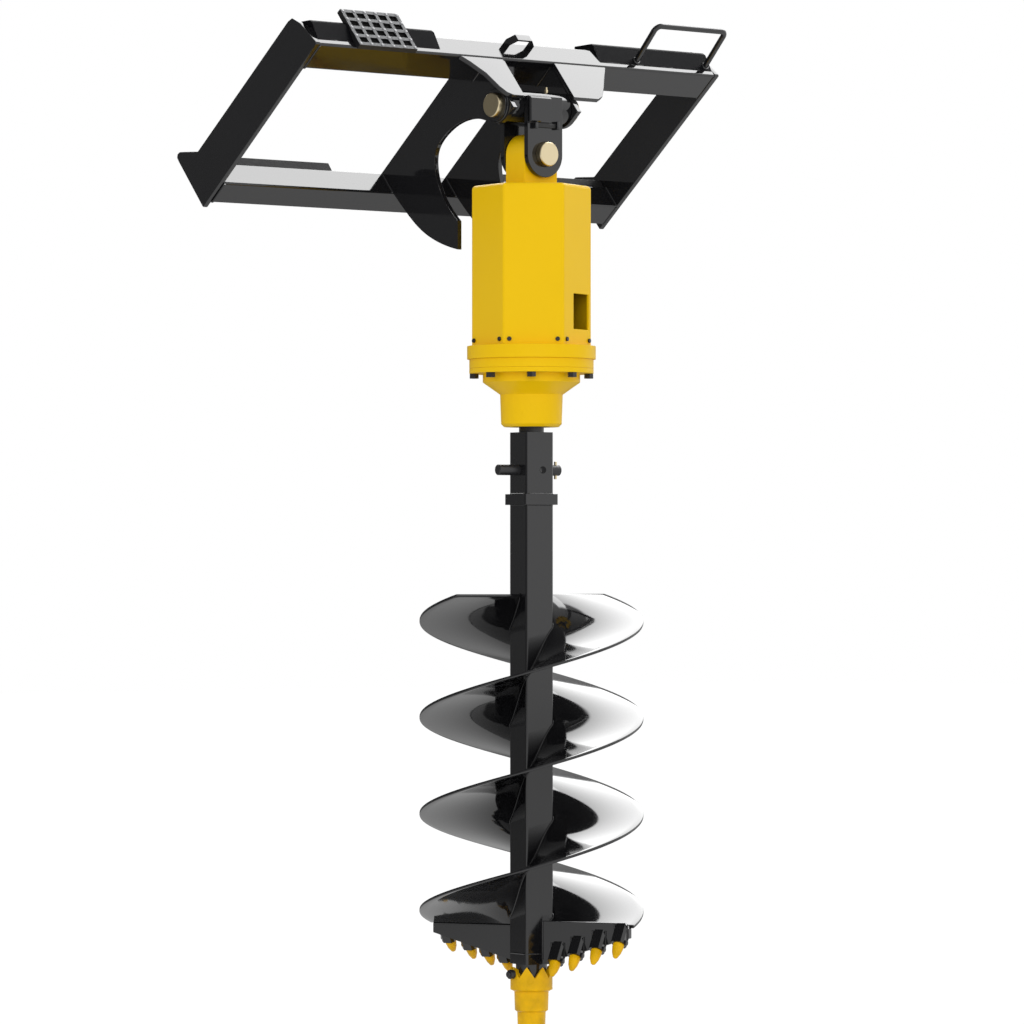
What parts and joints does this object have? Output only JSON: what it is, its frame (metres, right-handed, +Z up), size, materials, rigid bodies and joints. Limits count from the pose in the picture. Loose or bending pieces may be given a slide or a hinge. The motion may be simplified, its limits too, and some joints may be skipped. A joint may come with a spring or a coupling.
{
  "type": "skid steer auger attachment",
  "caption": "Auger for a skid steer: leaning quick-attach frame, cradle, swinging knuckle, hydraulic planetary drive and a double-start auger with digging teeth and pilot.",
  "frame": {"origin": "midway between the two wedge pin slots, on the top face of the lower flange", "axes": "+X along the frame's width, +Y to the machine at the rear, +Z up; the auger hangs down at -Y"},
  "size_m": [1.09, 0.7073, 2.1409],
  "materials": {
    "black_paint": "gloss",
    "yellow_paint": "semi-gloss",
    "zinc_plate": "yellow zinc, satin",
    "bronze": "machined",
    "steel": "machined",
    "black_oxide": "satin",
    "cast_iron": "painted casting",
    "rubber": "matte"
  },
  "bodies": {
    "frame": {"side_plate_left": "black_paint", "side_plate_right": "black_paint", "upper_bar": "black_paint", "lower_bar": "black_paint", "hook_lips": "black_paint", "pin_flange_left": "black_paint", "pin_flange_right": "black_paint", "cradle_plate_left": "black_paint", "cradle_plate_right": "black_paint", "top_gussets": "black_paint", "pin_boss_rings": "black_paint", "upper_pin": "zinc_plate", "upper_pin_keeper": "zinc_plate", "step_grating": "black_paint", "grab_handle": "black_paint", "hose_guide": "black_paint"},
    "knuckle": {"knuckle_tube": "black_paint", "knuckle_bushes": "bronze", "clevis_plate_front": "black_paint", "clevis_plate_rear": "black_paint", "stop_block": "black_paint", "lower_pin": "zinc_plate", "lower_pin_keeper": "zinc_plate", "grease_fitting": "zinc_plate"},
    "drive": {"drive_ear": "yellow_paint", "ear_bush": "bronze", "hood": "yellow_paint", "hood_screws": "black_oxide", "base_flange": "yellow_paint", "ring_gear": "yellow_paint", "nose_housing": "yellow_paint", "flange_bolts": "black_oxide", "motor_flange": "cast_iron", "motor_body": "cast_iron", "motor_valve_block": "cast_iron", "motor_bolts": "black_oxide", "port_fittings": "steel", "shaft_bearings": "steel", "shaft_seal": "rubber"},
    "sun": {"motor_shaft": "steel", "sun_gear": "steel"},
    "planet_1": {"planet_gear_1": "steel"},
    "planet_2": {"planet_gear_2": "steel"},
    "planet_3": {"planet_gear_3": "steel"},
    "auger": {"planet_carrier": "steel", "output_shaft": "black_oxide", "hub_socket": "black_paint", "hub_pin": "black_oxide", "hub_pin_clip": "zinc_plate", "hub_collar": "black_paint", "auger_tube": "black_paint", "flight_a": "black_paint", "flight_b": "black_paint", "tooth_bars": "black_paint", "tooth_holders": "black_paint", "digging_teeth": "yellow_paint", "tooth_bolts": "black_oxide", "pilot_socket": "black_paint", "pilot_bit": "yellow_paint", "pilot_bolt": "black_oxide"}
  },
  "joints": [
    {"name": "knuckle_swing", "type": "hinge", "parent": "frame", "child": "knuckle", "pos_m": [0, -0.432, 0.102], "axis": [1, 0, 0], "range_deg": [-60, 0]},
    {"name": "drive_tilt", "type": "hinge", "parent": "knuckle", "child": "drive", "pos_m": [0, -0.432, 0.004], "axis": [0, 1, 0], "range_deg": [-45, 45]},
    {"name": "auger_spin", "type": "hinge", "parent": "drive", "child": "auger", "pos_m": [0, -0.432, -0.55], "axis": [0, 0, 1], "continuous": true},
    {"name": "motor_spin", "type": "hinge", "parent": "drive", "child": "sun", "pos_m": [0, -0.432, -0.42], "axis": [0, 0, 1], "continuous": true},
    {"name": "planet_1_spin", "type": "hinge", "parent": "auger", "child": "planet_1", "pos_m": [0, -0.37125, -0.42], "axis": [0, 0, 1], "continuous": true},
    {"name": "planet_2_spin", "type": "hinge", "parent": "auger", "child": "planet_2", "pos_m": [-0.05261, -0.46238, -0.42], "axis": [0, 0, 1], "continuous": true},
    {"name": "planet_3_spin", "type": "hinge", "parent": "auger", "child": "planet_3", "pos_m": [0.05261, -0.46238, -0.42], "axis": [0, 0, 1], "continuous": true}
  ],
  "couplings": [
    {"joint": "motor_spin", "follows": "auger_spin", "ratio": 4.5},
    {"joint": "planet_1_spin", "follows": "auger_spin", "ratio": -2.8},
    {"joint": "planet_2_spin", "follows": "auger_spin", "ratio": -2.8},
    {"joint": "planet_3_spin", "follows": "auger_spin", "ratio": -2.8}
  ]
}
